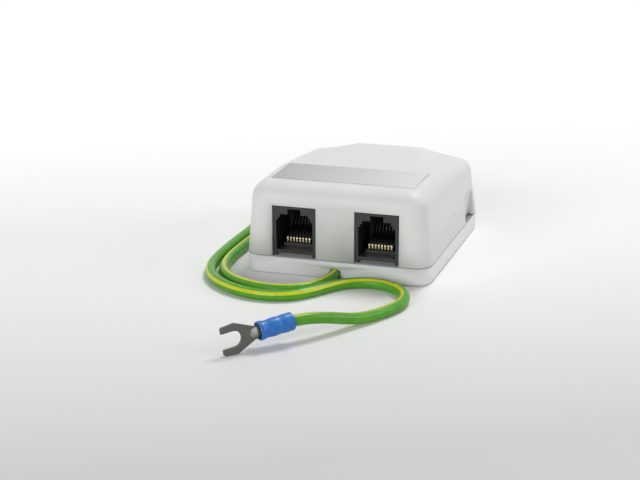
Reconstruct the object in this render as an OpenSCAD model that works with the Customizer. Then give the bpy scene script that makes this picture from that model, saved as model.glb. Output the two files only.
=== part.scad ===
// Ethernet surge protector: a two-socket surface box with an earth lead.
// The origin is at the middle of the underside of the box, X runs to the right
// along the socket side, Y to the back and Z up. All sizes are in millimetres.

/* [Box] */
// Width of the box at the parting line
box_w = 60; // [58:0.5:70]
// Depth of the box at the parting line
box_d = 69; // [66:0.5:80]
// Height of the whole box
box_h = 29; // [28:0.25:34]
// Height of the base tray up to the parting line
base_h = 6; // [5.75:0.05:6.4]
// Radius of the upright corners
corner_r = 5.4; // [5:0.1:8]
// Lean of the side and rear walls of the cover, in degrees
side_lean = 5; // [2:0.5:6]
// Lean of the front wall of the cover, in degrees
front_lean = 1.6; // [0.5:0.1:3]
// Radius of the top edges of the cover
edge_r = 4.8; // [3:0.1:4.9]
// Wall of the cover
cover_wall = 1.8; // [1.4:0.1:2.2]
// Rounding of the lower edge of the base
foot_r = 1; // [0.5:0.1:1.6]
// Floor of the base
floor_t = 2; // [1.5:0.1:2.4]
// Thickness of the lip inside the rim of the base
lip_t = 1.1; // [0.8:0.1:1.4]
// Height of the lip above the parting line
lip_h = 1.5; // [1:0.1:2]
// Shadow groove along the parting line, height
groove_h = 0.3; // [0.2:0.05:0.5]
// Shadow groove along the parting line, depth
groove_d = 0.5; // [0.3:0.05:0.8]

/* [Top of the cover] */
// Depth of the level front part of the top, from the front wall
level_d = 28; // [24:0.5:34]
// Fall of the shoulders towards the rear, in degrees
shoulder_fall = 5.5; // [3:0.5:7]
// Fall of the raised field towards the rear, in degrees
field_fall = 1.6; // [0:0.1:2.5]
// Width of the raised field at its front end
field_front_w = 36; // [30:0.5:40]
// Width of the raised field at the rear
field_rear_w = 27; // [20:0.5:34]
// Slope of the flanks of the raised field, in degrees from level
field_flank = 40; // [30:1:60]

/* [Label strip] */
// Distance of the label strip from each side of the box
label_side = 6.8; // [6.6:0.1:9]
// Depth of the label strip, front to back
label_d = 17.8; // [12:0.2:18]
// Thickness of the label strip
label_t = 0.35; // [0.3:0.05:0.6]
// Depth of the shallow recess that takes the label strip
label_recess = 0.2; // [0.1:0.05:0.25]
// Distance of the label strip from the front wall
label_from_front = 8.2; // [8:0.2:9]

/* [Side notches] */
// Length of each notch along the side
notch_l = 11; // [8:0.5:14]
// Height of each notch above the parting line
notch_h = 8.5; // [6:0.5:10]
// Depth of each notch at its foot
notch_d = 1.9; // [1:0.1:2]
// Extra thickness of the side wall behind each notch
notch_pad = 1.2; // [1:0.1:1.2]
// Distance of the middle of each notch behind the middle of the box
notch_y = 20.8; // [18:0.2:24]

/* [Sockets] */
// Distance of the middle of each socket from the side of the box
socket_side = 16.65; // [16.2:0.05:17]
// Width of each window in the cover
window_w = 14.4; // [14:0.1:15]
// Height of each window above the parting line
window_h = 16.3; // [16:0.1:17]
// Width of a socket housing
socket_w = 13.8; // [13.6:0.1:13.9]
// Height of a socket housing
socket_h = 15; // [14.6:0.1:15.1]
// Depth of a socket housing
socket_d = 18; // [16.5:0.5:20]
// Distance of the housing's face behind the front wall
socket_recess = 0.8; // [0.6:0.1:1.2]
// Width of the plug opening
plug_w = 11.9; // [11.7:0.1:12]
// Height of the plug opening without the latch steps
plug_h = 9.5; // [8.8:0.1:9.6]
// Width of the latch notch at the top of the plug opening
latch_w = 4.2; // [3.8:0.1:4.6]
// Height of the two steps and of the latch notch above them
step_h = 1; // [0.9:0.05:1.1]
latch_h = 1.75; // [1.4:0.05:1.8]
// Floor of the housing under the plug
socket_floor = 1.1; // [0.9:0.1:1.4]
// Depth of the plug opening
plug_d = 13.2; // [12.5:0.1:13.6]
// Pitch of the contacts
contact_pitch = 1.02; // [1:0.01:1.05]
// Width of one contact
contact_w = 0.46; // [0.35:0.01:0.55]
// Thickness of one contact
contact_t = 0.32; // [0.25:0.01:0.4]
// Height of the tongue that carries the contacts above the socket floor
tongue_t = 1.06; // [0.8:0.02:1.2]
// Radius of the bends at the front of a contact
contact_bend = 0.35; // [0.3:0.01:0.4]
// Height of a contact's upright front, from leg to leg
contact_front_h = 1.6; // [1.4:0.05:1.7]
// Distance of the snap pegs from the middle of a socket
peg_x = 5; // [4.6:0.1:5.2]
// Distance of the snap pegs from the front of a socket
peg_back = 8.5; // [8:0.1:9.5]
// Number of contacts in a socket
contact_count = 8; // [4:2:8]

/* [Circuit board] */
// Gap between the circuit board and the rim at each side
board_gap = 1.3; // [1:0.1:1.8]
// Depth of the circuit board
board_d = 45; // [44:0.5:47]
// Thickness of the circuit board
board_t = 1.6; // [1.4:0.1:1.6]
// Height of the upper face of the board above the surface
board_top = 7; // [6.9:0.05:7.1]
// Radius of the bosses that carry the board
boss_r = 2.6; // [2.2:0.1:2.8]
// Distance of the bosses from the sides of the box
boss_side = 7.5; // [7.2:0.1:7.6]
// Distance of the bosses from the front and rear edges of the board
boss_edge = 3.2; // [3:0.1:4]
// Radius of the board screws
board_screw_r = 1.1; // [0.9:0.05:1.2]

/* [Protection parts] */
// Radius of a gas arrester
arrester_r = 2.5; // [2.2:0.1:2.6]
// Length of a gas arrester between its caps
arrester_l = 4.6; // [4:0.1:5]
// Thickness of an end cap of an arrester
arrester_cap = 1; // [0.8:0.1:1.1]
// Width of a diode bridge
bridge_w = 8.4; // [7.6:0.1:8.6]
// Depth of a diode bridge
bridge_d = 6.2; // [5.6:0.1:6.4]
// Height of the body of a diode bridge
bridge_h = 3; // [2.6:0.1:3.2]
// Radius of a clamping diode
diode_r = 1.7; // [1.5:0.05:1.8]
// Length of the body of a clamping diode
diode_l = 6.4; // [6:0.1:6.6]
// Radius of a line resistor
resistor_r = 1; // [0.9:0.05:1.1]
// Length of the body of a line resistor
resistor_l = 5.2; // [4.8:0.1:5.6]
// Radius of a line fuse
fuse_r = 3.2; // [2.8:0.1:3.4]
// Thickness of a line fuse
fuse_t = 2; // [1.8:0.1:2.2]
// Gap between the rows of parts on the board
row_gap = 2.2; // [2:0.1:2.5]

/* [Wall screws] */
// Distance of the wall screw holes from the sides of the box
wall_hole_side = 10; // [10:0.5:13]
// Radius of the wall screw holes
wall_hole_r = 2.1; // [1.8:0.05:2.4]
// Distance of the wall screw holes behind the middle of the box
wall_hole_y = 23.5; // [23:0.1:24]

/* [Earth lead] */
// Outside diameter of the earth lead
lead_dia = 3.4; // [3:0.1:3.5]
// Diameter of the bare core
core_dia = 1.8; // [1.5:0.1:2]
// Clearance of the lead in its slot, each side
lead_clearance = 0.25; // [0.2:0.01:0.3]
// Length of the lead slot in the floor, from the front wall
slot_l = 30; // [28:0.5:32]
// Width of the clamp bar, front to back
clamp_d = 5; // [4:0.1:6]
// Thickness of the clamp bar
clamp_t = 1.5; // [1.2:0.1:1.6]
// Distance of the clamp from the front of the base
clamp_at = 14; // [13:0.5:15]
// Reach of the clamp from the side of the slot to its screws
clamp_arm = 4; // [3.8:0.1:4.4]
// Radius of the heads of the clamp screws
clamp_head_r = 1.8; // [1.7:0.05:1.85]
// Length of bare core before it turns up
bare_l = 5; // [4.8:0.1:5.4]
// Distance of the core's upright part from the rear end of the slot
slot_gap = 3; // [2.6:0.1:3.4]

/* [Fork terminal] */
// Length of the terminal over all, sleeve included
fork_l = 21.7; // [21.4:0.1:22.6]
// Width of the fork at its shoulders
fork_w = 8.8; // [8.4:0.1:8.9]
// Width of the fork at its tips
fork_tip_w = 8.1; // [7.8:0.1:8.2]
// Distance of the fork's shoulders from the mouth of the sleeve
fork_shoulder = 17.5; // [16.8:0.1:18]
// Width of the slot in the fork
fork_slot = 4.6; // [4.2:0.1:5]
// Distance of the slot's round end from the mouth of the sleeve
fork_slot_end = 15.8; // [15.4:0.1:16.2]
// Thickness of the tinned plate
fork_t = 0.9; // [0.7:0.05:1]
// Length of the blue sleeve
sleeve_l = 10.7; // [10:0.1:11]
// Radius of the mouth of the sleeve
sleeve_r = 2.65; // [2.5:0.05:2.8]
// Radius of the barrel inside the sleeve
barrel_r = 1.85; // [1.75:0.05:1.9]

/* [Hidden] */
$fn = 48;

// Places that follow from the sizes above.
front_y = -box_d / 2;
rear_y = box_d / 2;
lip_gap = 0.3;
rim_t = cover_wall + lip_gap + lip_t;
sill_lip_h = 0.8;
label_w = box_w - 2 * label_side;
socket_x = box_w / 2 - socket_side;
board_w = box_w - 2 * rim_t - 2 * board_gap;
wall_hole_x = box_w / 2 - wall_hole_side;
board_low = board_top - board_t;
board_front = front_y + rim_t + 0.4;
board_mid_y = board_front + board_d / 2;
socket_front = front_y + socket_recess;
socket_back = socket_front + socket_d;
lead_r = lead_dia / 2;
slot_w = lead_dia + 2 * lead_clearance;
tail_start = front_y + rim_t / 2;
tail_end = front_y + slot_l - slot_gap - bare_l;
core_up_y = tail_end + bare_l;
clamp_y = front_y + clamp_at;
clamp_low = lead_dia + 0.1;
clamp_post_x = slot_w / 2 + clamp_arm;
clamp_screw_r = 1;
boss_x = box_w / 2 - boss_side;
boss_y = [board_front + boss_edge, board_front + board_d - boss_edge - 0.8];
boss_at = [[-boss_x, boss_y[0]], [boss_x, boss_y[0]], [-boss_x, boss_y[1]], [boss_x, boss_y[1]]];
screw_gap = 0.15;
peg_r = 1;
arc_steps = 8;

// Outline helpers

// A flat rectangle with true round corners.
module round_rect(w, d, r) {
    square([w - 2 * r, d], center = true);
    square([w, d - 2 * r], center = true);
    for (sx = [-1, 1], sy = [-1, 1])
        translate([sx * (w / 2 - r), sy * (d / 2 - r)]) circle(r);
}

// A block on that outline whose lower edge is rounded.
module tray_block(w, d, h, r, foot) {
    translate([0, 0, foot]) linear_extrude(h - foot) round_rect(w, d, r);
    linear_extrude(foot + 0.01) round_rect(w - 2 * foot, d - 2 * foot, r - foot);
    for (s = [-1, 1]) {
        translate([s * (w / 2 - foot), 0, foot]) rotate([90, 0, 0])
            cylinder(h = d - 2 * r, r = foot, center = true);
        translate([0, s * (d / 2 - foot), foot]) rotate([0, 90, 0])
            cylinder(h = w - 2 * r, r = foot, center = true);
    }
    for (sx = [-1, 1], sy = [-1, 1])
        translate([sx * (w / 2 - r), sy * (d / 2 - r), foot])
            rotate_extrude() translate([r - foot, 0]) circle(foot);
}

// Skin of the cover

// How far the top of the shoulders lies below the raised field at y.
function fall_at(y, fall) =
    let (start = front_y + level_d - 4, run = y - start, ease = 8)
    run <= 0 ? 0
    : run < ease ? tan(fall) * run * run / (2 * ease)
    : tan(fall) * (run - ease / 2);

// Right half of the outline at one level, from the front round to the rear.
function half_outline(side, front, rear, r) = [
    for (k = [0:arc_steps]) let (a = -90 + 90 * k / arc_steps) [side - r + r * cos(a), front + r + r * sin(a)],
    for (k = [1:11]) [side, front + r + (rear - front - 2 * r) * k / 12],
    for (k = [0:arc_steps]) let (a = 90 * k / arc_steps) [side - r + r * cos(a), rear - r + r * sin(a)]
];

// Levels of the skin: share of the height and how far the edge rounding has moved inwards.
function skin_levels(e, h) = [
    [0, 0], [(1 - e / h) / 2, 0],
    for (k = [0:arc_steps]) let (a = 90 * k / arc_steps) [(h - e + e * sin(a)) / h, e * (1 - cos(a))]
];

// The closed skin between the parting line and the top, moved inwards by inset.
module skin(inset, fall, low = 0) {
    h = box_h - inset - base_h;
    e = edge_r - min(inset, edge_r - 1.5);
    levels = skin_levels(e, h);
    halves = [for (l = levels)
        let (z = l[0] * h, extra = inset + l[1])
        half_outline(
            box_w / 2 - extra - z * tan(side_lean),
            front_y + extra + z * tan(front_lean),
            rear_y - extra - z * tan(side_lean),
            max(0.4, corner_r - extra))];
    n = len(halves[0]);
    rings = [for (i = [0:len(levels) - 1]) concat(
        [for (p = halves[i]) [p[0], p[1], base_h - low * (i == 0 ? 1 : 0)
            + levels[i][0] * (h - fall_at(p[1], fall))]],
        [for (k = [n - 1:-1:0]) let (p = halves[i][k]) [-p[0], p[1], base_h - low * (i == 0 ? 1 : 0)
            + levels[i][0] * (h - fall_at(p[1], fall))]])];
    m = 2 * n;
    last = (len(levels) - 1) * m;
    polyhedron(
        points = [for (ring = rings) each ring],
        faces = [
            [for (k = [0:m - 1]) k],
            for (i = [0:len(levels) - 2], k = [0:m - 1]) let (a = i * m + k, b = i * m + (k + 1) % m)
                each [[a, a + m, b], [b, a + m, b + m]],
            for (k = [0:n - 2]) [last + m - 1 - k, last + m - 2 - k, last + k + 1, last + k]
        ],
        convexity = 6);
}

// Wedge that bounds the raised field, wider towards its foot.
module field_wedge(inset) {
    top = box_h + 1;
    depth = 8;
    spread = depth / tan(field_flank);
    y0 = front_y + level_d - 8;
    y1 = rear_y + 2;
    a = field_front_w / 2 - inset - 1 / tan(field_flank);
    b = field_rear_w / 2 - inset - 1 / tan(field_flank);
    polyhedron(
        points = [
            [-a - spread, y0, top - depth], [a + spread, y0, top - depth],
            [b + spread, y1, top - depth], [-b - spread, y1, top - depth],
            [-a, y0, top], [a, y0, top], [b, y1, top], [-b, y1, top]],
        faces = [[0, 1, 2, 3], [7, 6, 5, 4], [0, 4, 5, 1], [1, 5, 6, 2], [2, 6, 7, 3], [3, 7, 4, 0]]);
}

// Whole form of the cover without windows, solid.
module cover_form(inset, low = 0) {
    skin(inset, shoulder_fall, low);
    intersection() {
        skin(inset, field_fall, low);
        field_wedge(inset);
    }
}

// One window, open at the parting line.
module window_cut(x) {
    translate([x - window_w / 2, front_y - 1, base_h - 1]) cube([window_w, rim_t + 1, window_h + 1]);
}

// Pry notch in a side wall: the wall is set inwards, deepest at its foot.
module notch_cut(s) {
    lean = notch_h * tan(side_lean);
    translate([s * box_w / 2, notch_y + notch_l / 2, base_h]) rotate([90, 0, 0]) linear_extrude(notch_l)
        polygon([[s, -1], [s, notch_h], [-s * (lean + 0.2), notch_h], [-s * notch_d, 0.8], [-s * notch_d, -1]]);
}

module cover() {
    color("white") difference() {
        cover_form(0);
        difference() {
            cover_form(cover_wall, 1);
            // The wall stays thicker behind each notch.
            for (s = [-1, 1]) translate([s * (box_w / 2 - cover_wall / 2), notch_y, base_h + notch_h / 2])
                cube([cover_wall + 2 * notch_pad, notch_l + 2.4, notch_h + 3], center = true);
        }
        for (s = [-1, 1]) window_cut(s * socket_x);
        for (s = [-1, 1]) notch_cut(s);
        translate([-label_w / 2, front_y + label_from_front, box_h - label_recess]) cube([label_w, label_d, 2]);
    }
}

module label_strip() {
    color("silver") translate([-label_w / 2 + 0.05, front_y + label_from_front + 0.05, box_h - label_recess])
        cube([label_w - 0.1, label_d - 0.1, label_t]);
}

// Opening for the lead: an arch through the front rim and a slot in the floor behind it.
module lead_slot() {
    translate([-slot_w / 2, front_y - 1, -1]) cube([slot_w, rim_t + 2, lead_r + 1]);
    translate([0, front_y - 1, lead_r]) rotate([-90, 0, 0]) cylinder(h = rim_t + 2, r = slot_w / 2);
    translate([-slot_w / 2, front_y - 1, -1]) cube([slot_w, slot_l - slot_w / 2 + 1, floor_t + 2]);
    translate([0, front_y + slot_l - slot_w / 2, -1]) cylinder(h = floor_t + 2, r = slot_w / 2);
}

module base() {
    color("whitesmoke") difference() {
        union() {
            difference() {
                tray_block(box_w, box_d, base_h, corner_r, foot_r);
                translate([0, 0, floor_t]) linear_extrude(base_h)
                    round_rect(box_w - 2 * rim_t, box_d - 2 * rim_t, corner_r - rim_t);
            }
            // Lip inside the rim, low behind the windows.
            difference() {
                translate([0, 0, floor_t]) linear_extrude(base_h - floor_t + lip_h)
                    round_rect(box_w - 2 * (rim_t - lip_t), box_d - 2 * (rim_t - lip_t), corner_r - rim_t + lip_t);
                linear_extrude(base_h + lip_h + 1)
                    round_rect(box_w - 2 * rim_t, box_d - 2 * rim_t, corner_r - rim_t);
                translate([-socket_x - window_w / 2 - 1, front_y, base_h + sill_lip_h])
                    cube([2 * socket_x + window_w + 2, rim_t + 3, lip_h + 1]);
                // Room for the thicker wall behind each notch.
                for (s = [-1, 1]) translate([s * box_w / 2, notch_y, base_h + 2])
                    cube([2 * rim_t + 2, notch_l + 3.2, 4], center = true);
            }
            // Bosses for the board screws.
            for (p = boss_at) translate([p[0], p[1], floor_t - 0.1]) cylinder(h = board_low - floor_t + 0.1, r = boss_r);
            // Raised seats round the wall screw holes.
            for (s = [-1, 1]) translate([s * wall_hole_x, wall_hole_y, floor_t - 0.1])
                cylinder(h = 1.5, r = wall_hole_r + 2.2);
            // Posts for the clamp bar.
            for (s = [-1, 1]) translate([s * clamp_post_x, clamp_y, floor_t - 0.1])
                cylinder(h = clamp_low - floor_t + 0.1, r = clamp_d / 2);
            // Low ribs that stiffen the rear of the floor.
            for (x = [-8, 8]) translate([x - 0.6, front_y + slot_l + 4, floor_t - 0.1])
                cube([1.2, box_d - slot_l - rim_t - 4, 1.3]);
        }
        // Shadow groove round the rim.
        translate([0, 0, base_h - groove_h]) difference() {
            linear_extrude(groove_h + 1) round_rect(box_w + 2, box_d + 2, corner_r + 1);
            translate([0, 0, -1]) linear_extrude(groove_h + 3)
                round_rect(box_w - 2 * groove_d, box_d - 2 * groove_d, corner_r - groove_d);
        }
        lead_slot();
        for (p = boss_at) translate([p[0], p[1], floor_t - 0.8]) cylinder(h = board_low, r = board_screw_r);
        for (s = [-1, 1]) translate([s * clamp_post_x, clamp_y, 0.8]) cylinder(h = base_h, r = clamp_screw_r);
        for (s = [-1, 1]) translate([s * wall_hole_x, wall_hole_y, -1]) cylinder(h = base_h, r = wall_hole_r);
    }
}

// Circuit board with its holes
module circuit_board() {
    color("darkgreen") difference() {
        translate([0, board_mid_y, board_low]) linear_extrude(board_t) round_rect(board_w, board_d, 1.5);
        for (p = boss_at) translate([p[0], p[1], 0]) cylinder(h = base_h + 5, r = board_screw_r + screw_gap);
        translate([0, core_up_y, 0]) cylinder(h = base_h + 5, r = core_dia / 2 + 0.15);
        // Holes for the snap pegs and the contact tails of both sockets.
        for (s = [-1, 1]) translate([s * socket_x, 0, 0]) {
            for (p = [-peg_x, peg_x]) translate([p, socket_front + peg_back, 0]) cylinder(h = base_h + 5, r = peg_r + 0.1);
            for (i = [0:contact_count - 1]) translate([contact_x(i), tail_y[i % 2], 0])
                cylinder(h = base_h + 5, r = 0.36, $fn = 24);
        }
    }
}

// A pan-head screw, its head resting at the origin and its shank pointing down.
module pan_screw(shank_r, shank_l, head_r, head_h) {
    difference() {
        union() {
            cylinder(h = head_h, r = head_r);
            translate([0, 0, -shank_l]) cylinder(h = shank_l, r = shank_r);
        }
        for (a = [0, 90]) rotate([0, 0, a]) translate([-head_r * 0.55, -0.22, head_h * 0.4])
            cube([head_r * 1.1, 0.44, head_h]);
    }
}

module board_screws() {
    color("silver") for (p = boss_at) translate([p[0], p[1], board_top])
        pan_screw(board_screw_r, board_top - floor_t + 0.4, 2, 1.3);
}

// Socket housing: a stepped opening in front, a chamber for the insert behind.
module plug_opening() {
    low = board_top + socket_floor;
    top = low + plug_h;
    steps = [[plug_w, low, plug_h], [plug_w - 1.3, top - 0.1, step_h + 0.1],
        [plug_w - 2.7, top + step_h - 0.1, step_h + 0.1], [latch_w, top + 2 * step_h - 0.1, latch_h + 0.1]];
    for (s = steps) translate([-s[0] / 2, socket_front - 1, s[1]]) cube([s[0], plug_d + 1, s[2]]);
}

module socket_housing(x) {
    color("#202020") translate([x, 0, 0]) difference() {
        union() {
            translate([-socket_w / 2, socket_front, board_top]) cube([socket_w, socket_d, socket_h]);
            // Snap pegs into the board.
            for (s = [-1, 1]) translate([s * peg_x, socket_front + peg_back, board_low + 0.2])
                cylinder(h = board_t, r = peg_r);
            // Feet at both front corners, standing on the sill of the window.
            for (s = [-1, 1]) translate([s * (socket_w / 2 - 0.55) - 0.55, socket_front, base_h + 0.1])
                cube([1.1, 1.2, 2]);
        }
        plug_opening();
        // Chamber for the insert, open at the rear and below.
        translate([-plug_w / 2, socket_front + plug_d + 1, board_top - 1])
            cube([plug_w, socket_d, socket_h - 0.3]);
        // Comb window between the opening and the chamber.
        translate([-plug_w / 2 + 1, socket_front + plug_d - 1, board_top + socket_floor]) cube([plug_w - 2, 3, plug_h]);
    }
}

module socket_left() socket_housing(-socket_x);
module socket_right() socket_housing(socket_x);

// Insert that carries the contacts, and the contacts

leg_z = board_top + socket_floor + tongue_t + 0.04 + contact_t / 2;
bend_y = socket_front + plug_d * 0.352;
leg_rise = 27;
insert_front = socket_front + plug_d + 1;
tail_y = [insert_front + 1, insert_front + 2.6];
channel_gap = 0.06;

function contact_x(i) = (i - (contact_count - 1) / 2) * contact_pitch;

// Side view of one spring: tail, level leg, front bend and rising leg.
module contact_profile(y) {
    translate([y - contact_t / 2, board_low - 1.2]) square([contact_t, leg_z + contact_t / 2 - board_low + 1.2]);
    translate([bend_y, leg_z - contact_t / 2]) square([y - bend_y, contact_t]);
    front_top = contact_front_h - contact_bend;
    translate([bend_y - contact_bend - contact_t / 2, leg_z + contact_bend])
        square([contact_t, contact_front_h - 2 * contact_bend]);
    translate([bend_y, leg_z + contact_bend]) front_bend(false);
    translate([bend_y, leg_z + front_top]) {
        front_bend(true);
        rotate(leg_rise) translate([-0.01, contact_bend - contact_t / 2])
            square([(insert_front - 0.4 - bend_y) / cos(leg_rise), contact_t]);
    }
}

// Lower or upper bend at the front of a spring; the upper one ends at the slope of the leg.
module front_bend(upper) {
    outer = contact_bend + contact_t / 2;
    difference() {
        circle(outer);
        circle(contact_bend - contact_t / 2);
        translate([0, -2 * outer]) square([2 * outer, 4 * outer]);
        translate([-2 * outer, upper ? -2 * outer : 0]) square([4 * outer, 2 * outer]);
        if (upper) rotate(leg_rise) translate([0, -2 * outer]) square([2 * outer, 4 * outer]);
    }
}

module contacts(x) {
    color("gold") for (i = [0:contact_count - 1]) translate([x + contact_x(i) - contact_w / 2, 0, 0])
        rotate([90, 0, 90]) linear_extrude(contact_w) contact_profile(tail_y[i % 2]);
}

module contacts_left() contacts(-socket_x);
module contacts_right() contacts(socket_x);

module insert(x) {
    rib_t = contact_pitch - contact_w - 0.16;
    color("#262626") translate([x, 0, 0]) difference() {
        union() {
            translate([-plug_w / 2 + 0.05, insert_front + 0.02, board_top])
                cube([plug_w - 0.1, socket_front + socket_d - insert_front, socket_h - 1.35]);
            // Tongue under the level legs.
            translate([-plug_w / 2 + 1.1, bend_y - contact_bend - 0.1, board_top + socket_floor + 0.02])
                cube([plug_w - 2.2, insert_front - bend_y + 1, tongue_t]);
            // Comb ribs between the rising legs.
            for (i = [0:contact_count]) translate([contact_x(i) - contact_pitch / 2 - rib_t / 2, 0, board_top])
                rotate([90, 0, 90]) linear_extrude(rib_t) polygon([
                    [bend_y + 2.7, socket_floor + 0.3], [insert_front + 0.1, socket_floor + 0.3],
                    [insert_front + 0.1, socket_floor + plug_h - 0.6], [insert_front - 1.6, socket_floor + plug_h - 0.6]]);
        }
        for (i = [0:contact_count - 1]) {
            y = tail_y[i % 2];
            translate([contact_x(i) - contact_w / 2 - channel_gap, 0, 0]) {
                translate([0, y - contact_t / 2 - channel_gap, board_top - 1])
                    cube([contact_w + 2 * channel_gap, contact_t + 2 * channel_gap, leg_z + contact_t / 2 + channel_gap - board_top + 1]);
                translate([0, insert_front - 0.5, leg_z - contact_t / 2 - channel_gap])
                    cube([contact_w + 2 * channel_gap, y - insert_front + 0.5, contact_t + 2 * channel_gap]);
            }
        }
    }
}

module insert_left() insert(-socket_x);
module insert_right() insert(socket_x);

// Protection parts on the board

row_y = [socket_back + row_gap + arrester_l / 2 + arrester_cap / 2,
    socket_back + 2 * row_gap + 1.5 * arrester_l + arrester_cap + diode_l / 2];
cap_r = arrester_r + 0.1;
wire_r = 0.4;
first_gap = (board_w / 2 - 4 * cap_r - fuse_t) / 4;
second_gap = (board_w / 2 - 2 * diode_r - bridge_w - 4.8 * resistor_r) / 4;
arrester_x = [first_gap + cap_r, 2 * first_gap + 3 * cap_r];
fuse_x = 3 * first_gap + 4 * cap_r + fuse_t / 2;
diode_x = second_gap + diode_r;
bridge_x = 2 * second_gap + 2 * diode_r + bridge_w / 2;
resistor_x = [for (k = [0, 1]) 3 * second_gap + 2 * diode_r + bridge_w + (1 + 2.8 * k) * resistor_r];

// Gas arresters: drums that lie on the board behind each socket, with end caps.
module gas_arresters() {
    color("lightsteelblue") for (s = [-1, 1], x = arrester_x)
        translate([s * x, row_y[0], board_top + cap_r]) rotate([90, 0, 0]) {
            cylinder(h = arrester_l, r = arrester_r, center = true);
            for (e = [-1, 1]) translate([0, 0, e * arrester_l / 2]) cylinder(h = arrester_cap, r = cap_r, center = true);
        }
}

// Diode bridges: small moulded blocks on four legs.
module diode_bridges() {
    color("dimgray") for (s = [-1, 1]) translate([s * bridge_x, row_y[1], board_top]) {
        translate([-bridge_w / 2, -bridge_d / 2, 0.5]) cube([bridge_w, bridge_d, bridge_h]);
        for (lx = [-1, 1], ly = [-1, 1]) translate([lx * bridge_w * 0.31 - wire_r, ly * (bridge_d / 2 + 0.1) - 0.25, 0])
            cube([2 * wire_r, 0.5, bridge_h * 0.66]);
    }
}

// Clamping diodes: bodies with wire ends that bend down to the board.
module clamping_diodes() {
    high = diode_r + 0.15;
    color("#303030") for (s = [-1, 1]) translate([s * diode_x, row_y[1], board_top + high]) rotate([90, 0, 0]) {
        cylinder(h = diode_l, r = diode_r, center = true);
        for (e = [-1, 1]) translate([0, 0, e * (diode_l / 2 + 0.7)]) {
            cylinder(h = 1.6, r = wire_r, center = true);
            translate([0, wire_r, e * 0.4]) rotate([90, 0, 0]) cylinder(h = high + wire_r, r = wire_r);
        }
    }
}

// Line resistors: four small drums side by side.
module line_resistors() {
    color("tan") for (s = [-1, 1], x = resistor_x)
        translate([s * x, row_y[1], board_top + resistor_r + 0.05]) rotate([90, 0, 0]) {
            cylinder(h = resistor_l, r = resistor_r, center = true);
            for (e = [-1, 1]) translate([0, 0, e * (resistor_l / 2 + 0.2)]) cylinder(h = 0.8, r = 0.35, center = true);
        }
}

// Resettable fuses: upright discs on two legs.
module line_fuses() {
    color("goldenrod") for (s = [-1, 1]) translate([s * fuse_x, row_y[0], board_top]) {
        translate([0, 0, fuse_r + 0.9]) rotate([0, 90, 0]) cylinder(h = fuse_t, r = fuse_r, center = true);
        for (ly = [-1, 1]) translate([0, ly * fuse_r / 2, 0]) cylinder(h = 2, r = 0.35);
    }
}

// Earth lead inside the base

module lead_tail() {
    color("limegreen") translate([0, tail_start, lead_r]) rotate([-90, 0, 0])
        cylinder(h = tail_end - tail_start, r = lead_r);
}

// Bare core: out of the insulation, round a bend and up through the board.
module lead_core() {
    turn_r = 2.4;
    core_r = core_dia / 2;
    color("#b87333") {
        translate([0, tail_end, lead_r]) rotate([-90, 0, 0]) cylinder(h = core_up_y - turn_r - tail_end, r = core_r);
        translate([0, core_up_y - turn_r, lead_r + turn_r]) rotate([90, 0, 90])
            rotate_extrude(angle = -90, start = 0) translate([turn_r, 0]) circle(core_r);
        translate([0, core_up_y, lead_r + turn_r]) cylinder(h = board_top + 0.8 - lead_r - turn_r, r = core_r);
    }
}

// Solder round the core on the upper face of the board.
module earth_joint() {
    color("silver") translate([0, core_up_y, board_top]) difference() {
        rotate_extrude() polygon([[0, 0], [core_dia / 2 + 1.3, 0], [core_dia / 2 + 0.7, 0.35], [core_dia / 2 + 0.3, 1.1], [0, 1.1]]);
        translate([0, 0, -1]) cylinder(h = 1.82, r = core_dia / 2);
    }
}

module lead_clamp() {
    color("whitesmoke") translate([0, clamp_y, clamp_low]) difference() {
        linear_extrude(clamp_t) {
            square([2 * clamp_post_x, clamp_d], center = true);
            for (s = [-1, 1]) translate([s * clamp_post_x, 0]) circle(clamp_d / 2);
        }
        for (s = [-1, 1]) translate([s * clamp_post_x, 0, -1]) {
            cylinder(h = clamp_t + 2, r = clamp_screw_r + screw_gap);
            translate([0, 0, 1 + clamp_t - 0.7]) cylinder(h = 1, r = clamp_head_r + screw_gap);
        }
    }
}

module clamp_screws() {
    color("silver") for (s = [-1, 1]) translate([s * clamp_post_x, clamp_y, clamp_low + clamp_t - 0.7]) difference() {
        union() {
            cylinder(h = 0.65, r = clamp_head_r);
            translate([0, 0, -clamp_low - clamp_t + 1.8]) cylinder(h = clamp_low + clamp_t - 1.75, r = clamp_screw_r);
        }
        translate([-clamp_head_r * 0.67, -0.2, 0.35]) cube([clamp_head_r * 1.34, 0.4, 1]);
    }
}

// Free earth lead and its terminal

// Route of the free lead on the surface, from the front rim to the sleeve.
route = [
    [0, -33, 1.7], [0, -38.5, 1.7], [-1.5, -44.5, 1.7], [-5, -49.5, 1.7], [-10, -52.5, 1.7],
    [-16, -53, 1.7], [-24, -51, 1.7], [-31, -46, 1.7], [-35.5, -39, 1.7], [-37.5, -29, 1.7],
    [-37.2, -8, 1.7], [-35.5, 16, 1.7], [-32, 36, 1.7], [-26, 46, 1.7], [-19.5, 54.5, 1.7],
    [-17.5, 63.5, 1.7], [-22, 73, 1.7], [-31.5, 77.5, 1.7], [-41.5, 75, 1.7], [-48, 67, 1.7],
    [-48.5, 57, 1.7], [-44, 43, 1.7], [-40.5, 20, 1.7], [-41.5, -8, 1.7], [-41.5, -29.5, 1.7],
    [-39.5, -41, 1.7], [-34, -50, 1.7], [-25.5, -56.3, 1.7], [-16.6, -58.8, 1.7], [-9, -58, 1.7],
    [-3.2, -53.8, 1.7], [0.6, -47.5, 1.7], [5, -41.9, 1.7], [11, -38.8, 1.7], [18.1, -39.2, 1.7],
    [24, -43.2, 1.7], [27.2, -49.6, 1.7], [26.6, -57, 1.7], [22.8, -64.6, 1.7], [18.4, -71.6, 2.1],
    [13.8, -78.2, 4.5], [8.9, -84.3, 6.27], [4.8, -88.7, 6.37], [1.36, -92.29, 5.85]
];
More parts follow.
